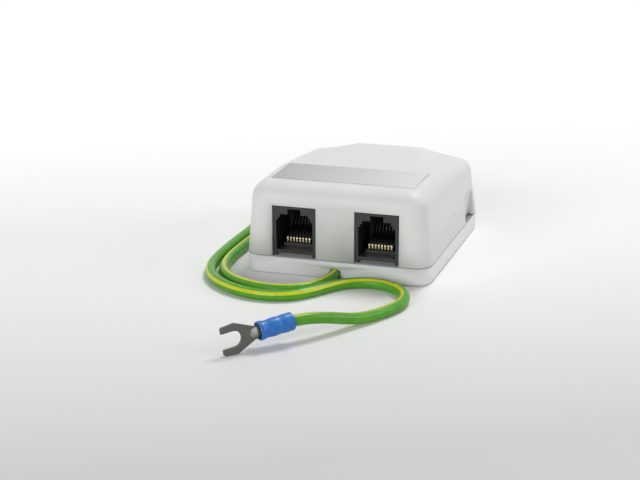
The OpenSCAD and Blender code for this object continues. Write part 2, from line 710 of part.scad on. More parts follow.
lead_sides = 8;

// A point on the smooth curve that the route's points steer, t from 0 to 1 after point i.
function route_at(i) = i < 0 ? 2 * route[0] - route[1]
    : i < len(route) ? route[i] : 2 * route[len(route) - 1] - route[len(route) - 2];
function on_curve(i, t) = let (u = 1 - t)
    (u * u * u * route_at(i - 1) + (3 * t * t * t - 6 * t * t + 4) * route_at(i)
    + (3 * t * t * (1 - t) + 3 * t + 1) * route_at(i + 1) + t * t * t * route_at(i + 2)) / 6;

line = [for (i = [0:len(route) - 2]) each [on_curve(i, 0), on_curve(i, 0.5)], route[len(route) - 1]];

function along(k) = let (v = line[min(len(line) - 1, k + 1)] - line[max(0, k - 1)]) v / norm(v);
function ring_at(k) = let (t = along(k), side = cross(t, [0, 0, 1]), s = side / norm(side), up = cross(s, t))
    [for (j = [0:lead_sides - 1]) let (a = 360 * j / lead_sides) line[k] + lead_r * (cos(a) * s + sin(a) * up)];

module earth_lead() {
    n = len(line);
    m = lead_sides;
    color("limegreen") polyhedron(
        points = [for (k = [0:n - 1]) each ring_at(k)],
        faces = [
            [for (j = [0:m - 1]) j],
            for (k = [0:n - 2], j = [0:m - 1]) let (a = k * m + j, b = k * m + (j + 1) % m)
                each [[a, a + m, b], [b, a + m, b + m]],
            [for (j = [m - 1:-1:0]) (n - 1) * m + j]
        ],
        convexity = 10);
}

// The terminal points along the lead's last stretch and stands on one edge of its fork.
fork_turn = 226.2;
fork_dip = 6;
fork_roll = -85;
sheath_in = 5;
barrel_bore = core_dia / 2 + 0.1;
barrel_l = sleeve_l - sheath_in;

module at_terminal() {
    translate(route[len(route) - 1]) rotate([0, 0, fork_turn]) rotate([0, fork_dip, 0]) rotate([fork_roll, 0, 0])
        translate([-sheath_in, 0, 0]) children();
}

module fork_plate() {
    blunt = 0.35;
    difference() {
        polygon([
            [sleeve_l - 0.5, -barrel_r], [sleeve_l + 1, -barrel_r], [fork_shoulder - 0.8, -fork_w / 2 + 0.3],
            [fork_shoulder, -fork_w / 2], [fork_l - blunt, -fork_tip_w / 2], [fork_l, -fork_tip_w / 2 + blunt],
            [fork_l, fork_tip_w / 2 - blunt], [fork_l - blunt, fork_tip_w / 2], [fork_shoulder, fork_w / 2],
            [fork_shoulder - 0.8, fork_w / 2 - 0.3], [sleeve_l + 1, barrel_r], [sleeve_l - 0.5, barrel_r]]);
        translate([fork_slot_end + fork_slot / 2, 0]) circle(fork_slot / 2);
        translate([fork_slot_end + fork_slot / 2, -fork_slot / 2]) square([fork_w, fork_slot]);
    }
}

module fork_terminal() {
    color("gray") at_terminal() {
        difference() {
            union() {
                translate([sheath_in, 0, 0]) rotate([0, 90, 0]) cylinder(h = barrel_l + 0.6, r = barrel_r);
                translate([0, 0, -fork_t / 2]) linear_extrude(fork_t) fork_plate();
            }
            translate([sheath_in - 1, 0, 0]) rotate([0, 90, 0]) cylinder(h = barrel_l + 0.2, r = barrel_bore);
        }
    }
}

// Bare end of the core, crimped in the barrel.
module lead_end() {
    color("#b87333") at_terminal() translate([sheath_in, 0, 0]) rotate([0, 90, 0])
        cylinder(h = barrel_l - 0.9, r = core_dia / 2);
}

module terminal_sleeve() {
    color("royalblue") at_terminal() difference() {
        rotate([0, 90, 0]) rotate_extrude() polygon([
            [lead_r + 0.15, 0], [sleeve_r, 0], [sleeve_r, sheath_in - 1.4], [sleeve_r - 0.15, sheath_in - 0.4],
            [sleeve_r - 0.1, sleeve_l - 0.5], [sleeve_r - 0.35, sleeve_l],
            [barrel_r + 0.02, sleeve_l], [barrel_r + 0.02, sheath_in - 0.02], [lead_r + 0.15, sheath_in - 0.02]]);
        // Flats pressed by the crimping tool.
        for (s = [-1, 1]) translate([sheath_in + 0.6, -4, s * (barrel_r + 0.4) - (s < 0 ? 2 : 0)]) cube([2.6, 8, 2]);
    }
}

base();
cover();
label_strip();
circuit_board();
board_screws();
socket_left();
socket_right();
insert_left();
insert_right();
contacts_left();
contacts_right();
gas_arresters();
diode_bridges();
clamping_diodes();
line_resistors();
line_fuses();
lead_clamp();
clamp_screws();
lead_tail();
lead_core();
earth_joint();
earth_lead();
lead_end();
fork_terminal();
terminal_sleeve();
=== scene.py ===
"""Ethernet surge protector: a white two-socket box with a green and yellow earth lead."""

import math

import bmesh
import bpy
from mathutils import Matrix, Vector
from mathutils.bvhtree import BVHTree


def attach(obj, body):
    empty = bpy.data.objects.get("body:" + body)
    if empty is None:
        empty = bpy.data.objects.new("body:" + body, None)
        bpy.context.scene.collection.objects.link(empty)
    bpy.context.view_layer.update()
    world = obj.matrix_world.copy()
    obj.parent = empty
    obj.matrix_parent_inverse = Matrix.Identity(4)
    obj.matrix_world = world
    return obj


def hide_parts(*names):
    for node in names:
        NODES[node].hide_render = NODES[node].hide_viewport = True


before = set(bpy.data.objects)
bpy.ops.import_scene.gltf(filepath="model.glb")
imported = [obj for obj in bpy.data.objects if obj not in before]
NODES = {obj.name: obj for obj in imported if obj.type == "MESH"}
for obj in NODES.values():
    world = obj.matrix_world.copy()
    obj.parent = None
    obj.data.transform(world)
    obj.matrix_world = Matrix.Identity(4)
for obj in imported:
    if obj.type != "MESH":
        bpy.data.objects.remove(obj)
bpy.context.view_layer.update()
MM = 0.001


# ---------------------------------------------------------------- camera

def make_camera():
    """Camera fitted to the edges of the box, with angles in degrees, mm and the photo's pixels."""
    yaw, pitch, roll = math.radians(18.25), math.radians(17.72), math.radians(0.60)
    distance, focal_px = 528.6, 1600.0
    shift_x, shift_y = 46.15, 6.71
    sensor_mm, width_px = 36.0, 640.0
    right = Vector((math.cos(yaw), math.sin(yaw), 0.0))
    level = Vector((-math.sin(yaw), math.cos(yaw), 0.0))
    ahead = level * math.cos(pitch) - Vector((0, 0, math.sin(pitch)))
    up = level * math.sin(pitch) + Vector((0, 0, math.cos(pitch)))
    cam_x = right * math.cos(roll) - up * math.sin(roll)
    cam_y = right * math.sin(roll) + up * math.cos(roll)
    place = -(ahead * distance + cam_x * (shift_x * distance / focal_px)
              - cam_y * (shift_y * distance / focal_px)) * MM
    data = bpy.data.cameras.new("camera")
    data.sensor_width = sensor_mm
    data.lens = focal_px * sensor_mm / width_px
    data.clip_start, data.clip_end = 0.01, 20.0
    camera = bpy.data.objects.new("camera", data)
    bpy.context.scene.collection.objects.link(camera)
    turn = Matrix((cam_x, cam_y, -ahead)).transposed().to_4x4()
    camera.matrix_world = Matrix.Translation(place) @ turn
    bpy.context.scene.camera = camera


make_camera()


# ---------------------------------------------------------------- shared helpers

def ease(t):
    """Smooth change from 0 to 1 while t goes from 0 to 1."""
    t = min(1.0, max(0.0, t))
    return t * t * (3 - 2 * t)


def along(stops, x):
    """Value at x between the stops, with an eased change from one to the next."""
    for (x0, v0), (x1, v1) in zip(stops, stops[1:]):
        if x <= x1:
            return v0 + (v1 - v0) * ease((x - x0) / (x1 - x0))
    return stops[-1][1]


def linked(name, bm):
    """Object in the scene that takes over the mesh."""
    mesh = bpy.data.meshes.new(name)
    bm.to_mesh(mesh)
    bm.free()
    thing = bpy.data.objects.new(name, mesh)
    bpy.context.scene.collection.objects.link(thing)
    return thing


# ---------------------------------------------------------------- earth lead

LEAD_R = 1.7 * MM
# Points that steer the lead, in mm. Where no height is given, the lead lies on the floor.
ROUTE_MM = [
    (0, -33), (0, -38.5), (-1.5, -44.5), (-5, -49.5), (-10, -52.5), (-16, -53), (-24, -51),
    (-31, -46), (-35.5, -39), (-37.5, -29), (-37.2, -8), (-35.5, 16), (-32, 36), (-26, 46),
    (-19.5, 54.5), (-17.5, 63.5), (-22, 73), (-31.5, 77.5), (-41.5, 75), (-48, 67), (-48.5, 57),
    (-44, 43), (-40.5, 20), (-41.5, -8), (-41.5, -29.5), (-39.5, -41), (-34, -50), (-25.5, -56.3),
    (-16.6, -58.8), (-9, -58), (-3.2, -53.8), (0.6, -47.5), (5, -41.9), (11, -38.8), (18.1, -39.2),
    (24, -43.2), (27.2, -49.6), (26.6, -57), (22.8, -64.6), (18.4, -71.6, 2.1), (13.8, -78.2, 4.5),
    (8.9, -84.3, 6.27), (4.8, -88.7, 6.37), (1.36, -92.29, 5.85),
]
ROUTE = [Vector((*point, LEAD_R / MM)[:3]) * MM for point in ROUTE_MM]
# Where the middle of the stripe lies round the lead, in degrees from the right-hand side.
STRIPE_TURN = [
    (0.0, 100), (0.06, 92), (0.12, 96), (0.16, 110), (0.30, 122), (0.50, 88), (0.60, 56),
    (0.66, 40), (0.72, 33), (0.80, 36), (0.86, 62), (0.92, 82), (1.0, 86),
]


def smooth_line(points, steps):
    """Uniform cubic B-spline steered by the points, as in part.scad."""
    padded = [2 * points[0] - points[1], *points, 2 * points[-1] - points[-2]]
    line = []
    for i in range(len(points) - 1):
        a, b, c, d = padded[i:i + 4]
        for k in range(steps):
            t = k / steps
            u = 1 - t
            line.append((a * u ** 3 + b * (3 * t ** 3 - 6 * t ** 2 + 4)
                         + c * (3 * t * t * (1 - t) + 3 * t + 1) + d * t ** 3) / 6)
    return line + [points[-1]]


def arc_lengths(line):
    """Distance of each point from the start, measured along the line."""
    out = [0.0]
    for a, b in zip(line, line[1:]):
        out.append(out[-1] + (b - a).length)
    return out


def tube_mesh(name, line, radius, sides):
    """Closed tube round the line, with u round it from the stripe and v along it in metres."""
    lengths = arc_lengths(line)
    bm = bmesh.new()
    uv = bm.loops.layers.uv.new("lead")
    rings, offsets = [], []
    for k, centre in enumerate(line):
        ahead = (line[min(k + 1, len(line) - 1)] - line[max(k - 1, 0)]).normalized()
        side = ahead.cross(Vector((0, 0, 1))).normalized()
        up = side.cross(ahead)
        angles = [math.tau * j / sides for j in range(sides)]
        rings.append([bm.verts.new(centre + radius * (math.cos(a) * side + math.sin(a) * up))
                      for a in angles])
        offsets.append(along(STRIPE_TURN, lengths[k] / lengths[-1]) / 360)
    for k in range(len(rings) - 1):
        for j in range(sides):
            quad = [(k + 1, j), (k + 1, j + 1), (k, j + 1), (k, j)]
            face = bm.faces.new([rings[r][turn % sides] for r, turn in quad])
            face.smooth = True
            for loop, (r, turn) in zip(face.loops, quad):
                loop[uv].uv = (turn / sides - offsets[r], lengths[r])
    bm.faces.new(rings[0])
    bm.faces.new(list(reversed(rings[-1])))
    bmesh.ops.recalc_face_normals(bm, faces=bm.faces)
    return linked(name, bm)


lead_line = smooth_line(ROUTE, 5)
lead = tube_mesh("lead_insulation", lead_line, LEAD_R, 28)
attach(lead, "root")
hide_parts("earth_lead")


# ---------------------------------------------------------------- fork terminal

# Frame of the terminal: its origin at the sleeve's mouth, X along it and Z across the plate.
TERMINAL = (Matrix.Translation(ROUTE[-1]) @ Matrix.Rotation(math.radians(226.2), 4, "Z")
            @ Matrix.Rotation(math.radians(6), 4, "Y") @ Matrix.Rotation(math.radians(-85), 4, "X")
            @ Matrix.Translation((-5 * MM, 0, 0)))


SLEEVE_L = 10.7
SLEEVE_OUTER = [
    (0.0, 2.42), (0.25, 2.62), (2.6, 2.66), (3.3, 2.60), (3.9, 2.50), (4.6, 2.52), (5.4, 2.56),
    (7.0, 2.54), (7.8, 2.46), (8.6, 2.46), (9.2, 2.66), (9.7, 2.76), (10.4, 2.74), (10.7, 2.55),
]
SLEEVE_INNER = [
    (10.7, 2.50), (10.4, 2.36), (9.6, 2.28), (9.3, 1.92), (5.2, 1.90), (4.6, 1.78), (0.6, 1.78),
    (0.0, 2.20),
]
# Place, half length and depth in mm of what the crimping tool presses in, and of the swell between.
DENTS = [(7.9, 0.85, 0.42), (3.8, 0.6, 0.26)]
SWELL = (6.0, 1.6, 0.10)
NECK_START, NECK_L = 9.4, 4.6
NECK_HALF_W, NECK_TAPER = 1.83, 0.5
PLATE_HALF_T, NECK_RISE = 0.43, 1.40


def hump(x, middle, width, height):
    """Bell curve along the terminal."""
    return height * math.exp(-((x - middle) / width) ** 2)


def ring_at(x, half_w, half_t, sides):
    """Elliptical ring of points across the terminal's frame, from sizes in mm."""
    angles = [math.tau * j / sides for j in range(sides)]
    return [(x * MM, half_w * math.cos(a) * MM, half_t * math.sin(a) * MM) for a in angles]


def rings_mesh(name, rings, closed=False):
    """Skin over rings of points in the terminal's frame, open or closed on itself lengthwise."""
    bm = bmesh.new()
    loops = [[bm.verts.new(TERMINAL @ Vector(p)) for p in ring] for ring in rings]
    pairs = list(zip(loops, loops[1:]))
    if closed:
        pairs.append((loops[-1], loops[0]))
    for first, second in pairs:
        for j in range(len(first)):
            k = (j + 1) % len(first)
            bm.faces.new((first[j], first[k], second[k], second[j])).smooth = True
    if not closed:
        bm.faces.new(loops[0])
        bm.faces.new(list(reversed(loops[-1])))
    bmesh.ops.recalc_face_normals(bm, faces=bm.faces)
    thing = linked(name, bm)
    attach(thing, "root")
    return thing


def make_sleeve():
    """Blue sleeve with a flared collar and the dents of the crimping tool."""
    sides, steps = 56, 108
    rings = []
    for i in range(steps + 1):
        x = SLEEVE_L * i / steps
        dent, swell = sum(hump(x, *d) for d in DENTS), hump(x, *SWELL)
        ring = []
        for j in range(sides):
            c, s = math.cos(math.tau * j / sides), math.sin(math.tau * j / sides)
            r = along(SLEEVE_OUTER, x) - dent * s ** 6 + swell * c ** 2
            ring.append((x * MM, r * c * MM, r * s * MM))
        rings.append(ring)
    rings += [ring_at(x, radius, radius, sides) for x, radius in SLEEVE_INNER]
    sleeve = rings_mesh("crimped_sleeve", rings, closed=True)
    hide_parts("terminal_sleeve")
    return sleeve


def make_neck():
    """Neck of the fork, where the round barrel flattens out into the plate."""
    sides, steps = 40, 24
    rings = []
    for t in (i / steps for i in range(steps + 1)):
        half_w = NECK_HALF_W - NECK_TAPER * t ** 3
        half_t = PLATE_HALF_T + NECK_RISE * math.cos(math.pi / 2 * min(1.0, 1.15 * t)) ** 1.6
        rings.append(ring_at(NECK_START + NECK_L * t, half_w, half_t, sides))
    neck = rings_mesh("fork_neck", rings)
    return neck


sleeve = make_sleeve()
neck = make_neck()


# ---------------------------------------------------------------- cover

# Top of the cover in mm: a fall to the rear, which starts softly.
COVER_TOP = 29.0
FALL_START, FALL_EASE, FALL_DEGREES = -10.5, 8.0, 2.3
# The crease on each side: its place and y at the front, how it runs in, and how soft it is.
CREASE_X, CREASE_Y, CREASE_LEAN, CREASE_SOFT = 18, -6.5, 6.6 / 41, 0.5
# Slope and small step beyond the crease. Both grow towards the rear.
SIDE_SLOPE, GROWTH_RUN = 0.215, 42
STEP, STEP_RUN = 0.52, 1.8
# Height of the foot of the rounded edges, and y and run of the rear one.
EDGE_FOOT, REAR_EDGE, REAR_RUN = 22.32, 27.85, 5.15
# Where the eased top starts, how far it blends in, and where the rounded sides begin.
EASED_START, EASED_RUN, SIDE_EDGE = -9, 5, 22.5
# Plane of the rear wall: its y at floor level and its lean.
WALL_Y, WALL_LEAN = 35.123, 0.1045
# Spacing of the cuts across the top, and the heights of the level ones. GRID_FOOT is the lowest
# height at which the faces get the cuts across.
GRID_X, GRID_Y, GRID_Z, GRID_FOOT = 0.75, 1.5, (14, 16.5, 19, EDGE_FOOT, 24, 26), 19.01


def eased_top(x, y):
    """Height of the eased top in mm, which falls to the rear and beyond a crease on each side."""
    run = max(0.0, y - FALL_START)
    eased = run * run / (2 * FALL_EASE) if run < FALL_EASE else run - FALL_EASE / 2
    beyond = abs(x) - CREASE_X + CREASE_LEAN * (y - CREASE_Y)
    past = (beyond + math.sqrt(beyond * beyond + CREASE_SOFT)) / 2
    share = min(1.0, run / GROWTH_RUN)
    aside = SIDE_SLOPE * share * past + STEP * math.sqrt(share) * ease(beyond / STEP_RUN + 0.5)
    over_edge = min(1.0, max(0.0, (y - REAR_EDGE) / REAR_RUN))
    top = COVER_TOP - math.tan(math.radians(FALL_DEGREES)) * eased - aside
    return EDGE_FOOT + (top - EDGE_FOOT) * math.sqrt(1 - over_edge ** 2)


def cut_finely(bm):
    """Cuts through the upper faces, close together in x where the creases run."""
    cuts = [(Vector((0, 0, z * MM)), Vector((0, 0, 1))) for z in GRID_Z]
    cuts += [(Vector((i * GRID_X * MM, 0, 0)), Vector((1, 0, 0))) for i in range(-38, 39)
             if i % 2 == 0 or 12 < abs(i) < 28]
    cuts += [(Vector((0, (EASED_START + i * GRID_Y) * MM, 0)), Vector((0, 1, 0)))
             for i in range(28)]
    for where, across in cuts:
        faces = [f for f in bm.faces if max(v.co.z for v in f.verts) > GRID_FOOT * MM
                 and max(v.co.y for v in f.verts) > EASED_START * MM]
        geom = list(dict.fromkeys(g for f in faces for g in (*f.verts, *f.edges))) + faces
        bmesh.ops.bisect_plane(bm, geom=geom, dist=0.001 * MM, plane_co=where, plane_no=across)


def ease_top(bm, solid):
    """Scales the heights above the foot of the edges from the solid's top to the eased one."""
    for vert in bm.verts:
        x, y, z = (c / MM for c in vert.co)
        if z <= EDGE_FOOT or not EASED_START < y < REAR_EDGE + REAR_RUN:
            continue
        x = max(-SIDE_EDGE, min(SIDE_EDGE, x))
        above = Vector((x, y, 50)) * MM
        over = solid.ray_cast(above, Vector((0, 0, -1)))[0].z / MM - EDGE_FOOT
        if over >= 0.2:
            eased = EDGE_FOOT + (z - EDGE_FOOT) * (eased_top(x, y) - EDGE_FOOT) / over
            vert.co.z = (z + (eased - z) * ease((y - EASED_START) / EASED_RUN)) * MM


def level_rear(bm):
    """Brings what stands proud of the rear wall, and the ledge under it, into the wall's plane."""
    for vert in bm.verts:
        x, y, z = (c / MM for c in vert.co)
        wall = WALL_Y - WALL_LEAN * z
        proud = 20 < z < 24.5 and y > wall
        under = 21.2 < z < 22.1 and y > wall - 0.2 and abs(x) < 22.2
        if proud or under:
            vert.co.y = wall * MM
    bmesh.ops.remove_doubles(bm, verts=bm.verts, dist=0.01 * MM)
    bmesh.ops.dissolve_degenerate(bm, edges=bm.edges, dist=0.005 * MM)


def make_cover():
    """The CAD cover cut into a fine grid, with the planes of its top eased to soft slopes."""
    bm = bmesh.new()
    bm.from_mesh(NODES["cover"].data)
    bmesh.ops.transform(bm, matrix=NODES["cover"].matrix_world, verts=bm.verts)
    bmesh.ops.remove_doubles(bm, verts=bm.verts, dist=0.002 * MM)
    solid = BVHTree.FromBMesh(bm)
    cut_finely(bm)
    ease_top(bm, solid)
    level_rear(bm)
    shell = linked("cover_shell", bm)
    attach(shell, "root")
    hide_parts("cover")
    return shell


shell = make_cover()


# ---------------------------------------------------------------- materials

def grey(tone):
    return (tone, tone, tone)


class Maker:
    """Small helper that adds and links the nodes of one material."""

    def __init__(self, name):
        self.material = bpy.data.materials.new(name)
        self.material.use_nodes = True
        self.tree = self.material.node_tree
        self.shader = self.tree.nodes["Principled BSDF"]
        self.output = self.tree.nodes["Material Output"]

    def add(self, kind):
        return self.tree.nodes.new(kind)

    def join(self, source, target):
        self.tree.links.new(source, target)

    def feed(self, value, socket):
        """Puts a number, a colour or another node's output into the socket."""
        if isinstance(value, (int, float)):
            socket.default_value = value
        elif isinstance(value, tuple):
            socket.default_value = (*value, 1.0)
        else:
            self.join(value, socket)

    def place(self):
        return self.add("ShaderNodeTexCoord").outputs["Object"]

    def split(self, source=None):
        """X, Y and Z of a place, or of another vector."""
        parts = self.add("ShaderNodeSeparateXYZ")
        self.join(source or self.place(), parts.inputs["Vector"])
        return parts.outputs

    def noise(self, scale, detail=2.0, rough=0.5, where=None):
        node = self.add("ShaderNodeTexNoise")
        node.inputs["Scale"].default_value = scale
        node.inputs["Detail"].default_value = detail
        node.inputs["Roughness"].default_value = rough
        self.join(where or self.place(), node.inputs["Vector"])
        return node.outputs["Fac"]

    def ramp(self, source, stops):
        node = self.add("ShaderNodeValToRGB")
        points = node.color_ramp.elements
        while len(points) < len(stops):
            points.new(0.5)
        for point, (at, colour) in zip(points, stops):
            point.position = at
            point.color = (*colour, 1.0)
        self.join(source, node.inputs["Fac"])
        return node.outputs["Color"]

    def spread(self, source, low, high, start=0.0, end=1.0):
        node = self.add("ShaderNodeMapRange")
        limits = {"From Min": start, "From Max": end, "To Min": low, "To Max": high}
        for key, value in limits.items():
            node.inputs[key].default_value = value
        self.join(source, node.inputs["Value"])
        return node.outputs["Result"]

    def maths(self, what, a, b):
        node = self.add("ShaderNodeMath")
        node.operation = what
        self.feed(a, node.inputs[0])
        self.feed(b, node.inputs[1])
        return node.outputs["Value"]

    def mix(self, fac, a, b):
        node = self.add("ShaderNodeMix")
        node.data_type = "RGBA"
        colour = [s for s in node.inputs if s.type == "RGBA"]
        for value, socket in ((fac, node.inputs[0]), (a, colour[0]), (b, colour[1])):
            self.feed(value, socket)
        return [s for s in node.outputs if s.type == "RGBA"][0]

    def bump(self, heights, distance, strength=1.0):
        node = self.add("ShaderNodeBump")
        node.inputs["Strength"].default_value = strength
        node.inputs["Distance"].default_value = distance
        self.join(heights, node.inputs["Height"])
        self.join(node.outputs["Normal"], self.shader.inputs["Normal"])

    def set(self, **values):
        for key, value in values.items():
            self.feed(value, self.shader.inputs[key.replace("_", " ")])


# Heights between which the groove over the base is painted dark: painted shade for the shadow in
# the parting line.
GROOVE_SHADE_Z = (5.66 * MM, 5.72 * MM)
# Ends in x between which the label lightens: a painted sheen, partly a printed gradient.
LABEL_SHEEN_X = (-23 * MM, 23 * MM)
# Depths between which the gilt contacts turn dark: painted shade for the inside of the socket.
CONTACT_SHADE_Y = (-29.2 * MM, -28.7 * MM)


def white_plastic(name, tone, groove_shade=None):
    """Moulded white plastic with a satin grain, and painted shade in the groove at a parting line.
    """
    m = Maker(name)
    shade = (tone * 0.975, tone * 0.975, tone * 0.97)
    colour = m.ramp(m.noise(55, 3, 0.55), [(0.3, shade), (0.7, grey(tone))])
    if groove_shade:
        painted_groove = m.spread(m.split()["Z"], 0.0, 1.0, *groove_shade)
        # Painted shade: the groove band turns dark grey to stand for its shadow.
        colour = m.mix(painted_groove, colour, grey(tone * 0.3))
    m.set(Base_Color=colour, Roughness=m.spread(m.noise(420, 3), 0.42, 0.52, 0.3, 0.7))
    m.set(Specular_IOR_Level=0.42, Subsurface_Weight=0.06, Subsurface_Scale=0.002)
    m.bump(m.noise(5200, 2, 0.6), 0.00002, 0.5)
    return m.material


def label_film():
    """Silver-grey film with a fine brushed grain, lightening towards +x in a painted sheen that is
    partly a printed gradient.
    """
    m = Maker("label_film")
    stretch = m.add("ShaderNodeMapping")
    stretch.inputs["Scale"].default_value = (0.06, 1.0, 1.0)
    m.join(m.place(), stretch.inputs["Vector"])
    brushed = m.noise(5200, 2, 0.6, stretch.outputs["Vector"])
    # Painted sheen: the film's colour goes from the darker to the lighter end along x, partly a
    # printed gradient.
    side = m.spread(m.split()["X"], 0.0, 1.0, *LABEL_SHEEN_X)
    dark = m.ramp(brushed, [(0.25, (0.35, 0.35, 0.36)), (0.75, (0.43, 0.43, 0.44))])
    light = m.ramp(brushed, [(0.25, (0.63, 0.63, 0.635)), (0.75, (0.74, 0.74, 0.745))])
    m.set(Base_Color=m.mix(side, dark, light))
    m.set(Roughness=m.spread(brushed, 0.30, 0.42), Metallic=0.35, Specular_IOR_Level=0.5)
    m.bump(brushed, 0.00001, 0.4)
    return m.material


def black_plastic(name, tone=0.016):
    """Black moulded plastic with a soft gloss."""
    m = Maker(name)
    m.set(Base_Color=m.ramp(m.noise(300, 3), [(0.3, grey(tone)), (0.7, grey(tone * 1.5))]))
    m.set(Roughness=m.spread(m.noise(900, 2), 0.34, 0.46, 0.3, 0.7), Specular_IOR_Level=0.5)
    m.bump(m.noise(4200, 2), 0.00002, 0.4)
    return m.material


def metal(name, low, high, rough, grain=1500):
    """Bare or plated metal whose tone and gloss vary a little."""
    m = Maker(name)
    grainy = m.noise(grain, 4, 0.6)
    m.set(Base_Color=m.ramp(grainy, [(0.3, low), (0.7, high)]), Metallic=1.0)
    m.set(Roughness=m.spread(grainy, rough * 0.85, rough * 1.2, 0.3, 0.7))
    m.bump(grainy, 0.00001, 0.6)
    return m.material


def contact_gold():
    """Gilt spring wire, bright at the front bend, with painted shade further in for the shade
    inside the socket.
    """
    m = Maker("contact_gold")
    socket_shade = m.spread(m.split()["Y"], 0.0, 1.0, *CONTACT_SHADE_Y)
    bright = m.ramp(m.noise(1500, 3), [(0.3, (0.44, 0.37, 0.25)), (0.7, (0.55, 0.48, 0.33))])
    # Painted shade: behind the front bend the gold gives way to a dark brown that stands for shade.
    m.set(Base_Color=m.mix(socket_shade, bright, (0.060, 0.052, 0.042)), Metallic=1.0)
    m.set(Roughness=m.spread(m.noise(900, 2), 0.38, 0.48, 0.3, 0.7))
    m.bump(m.noise(2500, 2), 0.000005, 0.4)
    return m.material


def glossy(name, low, high, rough):
    """Coloured plastic or lacquer with a soft gloss."""
    m = Maker(name)
    m.set(Base_Color=m.ramp(m.noise(400, 3), [(0.3, low), (0.7, high)]))
    m.set(Roughness=m.spread(m.noise(1000, 2), rough * 0.85, rough * 1.15, 0.3, 0.7))
    m.bump(m.noise(2400, 2), 0.00002, 0.4)
    return m.material


def lead_insulation(striped=True):
    """Green insulation, with a yellow stripe along each side of the lead where it is striped."""
    m = Maker("lead_insulation" if striped else "lead_insulation_plain")
    green = m.ramp(m.noise(260, 3), [(0.3, (0.074, 0.300, 0.009)), (0.7, (0.096, 0.370, 0.012))])
    if striped:
        coords = m.add("ShaderNodeUVMap")
        coords.uv_map = "lead"
        wobble = m.spread(m.noise(60, 1), -0.010, 0.010)
        turn = m.maths("ADD", m.split(coords.outputs["UV"])["X"], wobble)
        # Distance from the middle of the nearer stripe, in turns of the lead.
        apart = m.maths("PINGPONG", turn, 0.25)
        edge = m.spread(apart, 1.0, 0.0, 0.044, 0.056)
        yellow = m.ramp(m.noise(300, 3), [(0.3, (0.58, 0.59, 0.020)), (0.7, (0.68, 0.68, 0.030))])
        green = m.mix(edge, green, yellow)
    m.set(Base_Color=green, Roughness=m.spread(m.noise(700, 2), 0.26, 0.36, 0.3, 0.7))
    m.set(Specular_IOR_Level=0.32)
    m.bump(m.noise(1400, 1), 0.00001, 0.3)
    return m.material


MATERIALS = {
    "base": white_plastic("base_plastic", 0.76, GROOVE_SHADE_Z),
    "cover": white_plastic("cover_plastic", 0.78),
    "label_strip": label_film(),
    "circuit_board": glossy("board_laminate", (0.008, 0.075, 0.02), (0.014, 0.11, 0.03), 0.35),
    "socket": black_plastic("socket_plastic"),
    "insert": black_plastic("insert_plastic", 0.012),
    "contacts": contact_gold(),
    "arrester": glossy("arrester_ceramic", (0.45, 0.50, 0.58), (0.55, 0.60, 0.66), 0.3),
    "component": black_plastic("component_black", 0.02),
    "resistor": glossy("resistor_body", (0.42, 0.28, 0.15), (0.52, 0.36, 0.20), 0.4),
    "fuse": glossy("fuse_body", (0.50, 0.26, 0.03), (0.62, 0.34, 0.05), 0.35),
    "screw": metal("screw_steel", (0.48, 0.48, 0.48), (0.62, 0.62, 0.60), 0.3),
    "copper": metal("core_copper", (0.60, 0.25, 0.12), (0.78, 0.38, 0.20), 0.35),
    "solder": metal("solder", (0.55, 0.55, 0.57), (0.68, 0.68, 0.70), 0.25),
    "tinned": metal("tinned_copper", (0.115, 0.113, 0.105), (0.150, 0.147, 0.138), 0.45, 2600),
    # A lighter copy of the fork's tinned metal, for the neck: a painted highlight.
    "tinned_painted_highlight": metal("tinned_painted_highlight", (0.27, 0.265, 0.25), (0.36, 0.355, 0.34), 0.38, 1800),
    "sleeve": glossy("sleeve_plastic", (0.009, 0.135, 0.46), (0.013, 0.172, 0.57), 0.34),
    "plain_lead": lead_insulation(False),
}
WEARS = {
    "base": "base", "cover": "cover", "label_strip": "label_strip",
    "circuit_board": "circuit_board", "board_screws": "screw",
    "socket_left": "socket", "socket_right": "socket",
    "insert_left": "insert", "insert_right": "insert",
    "contacts_left": "contacts", "contacts_right": "contacts",
    "gas_arresters": "arrester", "diode_bridges": "component", "clamping_diodes": "component",
    "line_resistors": "resistor", "line_fuses": "fuse",
    "lead_clamp": "base", "clamp_screws": "screw",
    "lead_tail": "plain_lead", "lead_core": "copper", "earth_joint": "solder",
    "earth_lead": "plain_lead", "lead_end": "copper",
    "fork_terminal": "tinned", "terminal_sleeve": "sleeve",
}
for node_name, finish in WEARS.items():
    slots = NODES[node_name].data.materials
    slots.clear()
    slots.append(MATERIALS[finish])
lead.data.materials.append(lead_insulation())
shell.data.materials.append(MATERIALS["cover"])
sleeve.data.materials.append(MATERIALS["sleeve"])
# The neck wears the lighter tinned copy: a painted highlight.
neck.data.materials.append(MATERIALS["tinned_painted_highlight"])


CRISP_DEGREES = 28


def soften(thing):
    """Smooth shading over the facets of a form, with its crisp edges kept."""
    weld = thing.modifiers.new("weld", "WELD")
    weld.merge_threshold = 0.002 * MM
    for polygon in thing.data.polygons:
        polygon.use_smooth = True
    bpy.context.view_layer.objects.active = thing
    for other in bpy.context.selected_objects:
        other.select_set(False)
    thing.select_set(True)
    bpy.ops.object.shade_auto_smooth(angle=math.radians(CRISP_DEGREES))
    thing.select_set(False)


soften(shell)
soften(NODES["base"])


# ---------------------------------------------------------------- floor and light

def sees_background(nodes, links):
    """1 for camera, mirror and glass rays, which see the pale background itself."""
    paths = nodes.new("ShaderNodeLightPath")
    total = paths.outputs["Is Camera Ray"]
    for name in ("Is Glossy Ray", "Is Transmission Ray"):
        either = nodes.new("ShaderNodeMath")
        either.operation = "MAXIMUM"
        links.new(total, either.inputs[0])
        links.new(paths.outputs[name], either.inputs[1])
        total = either.outputs["Value"]
    return total


FLOOR_HALF = 3.0
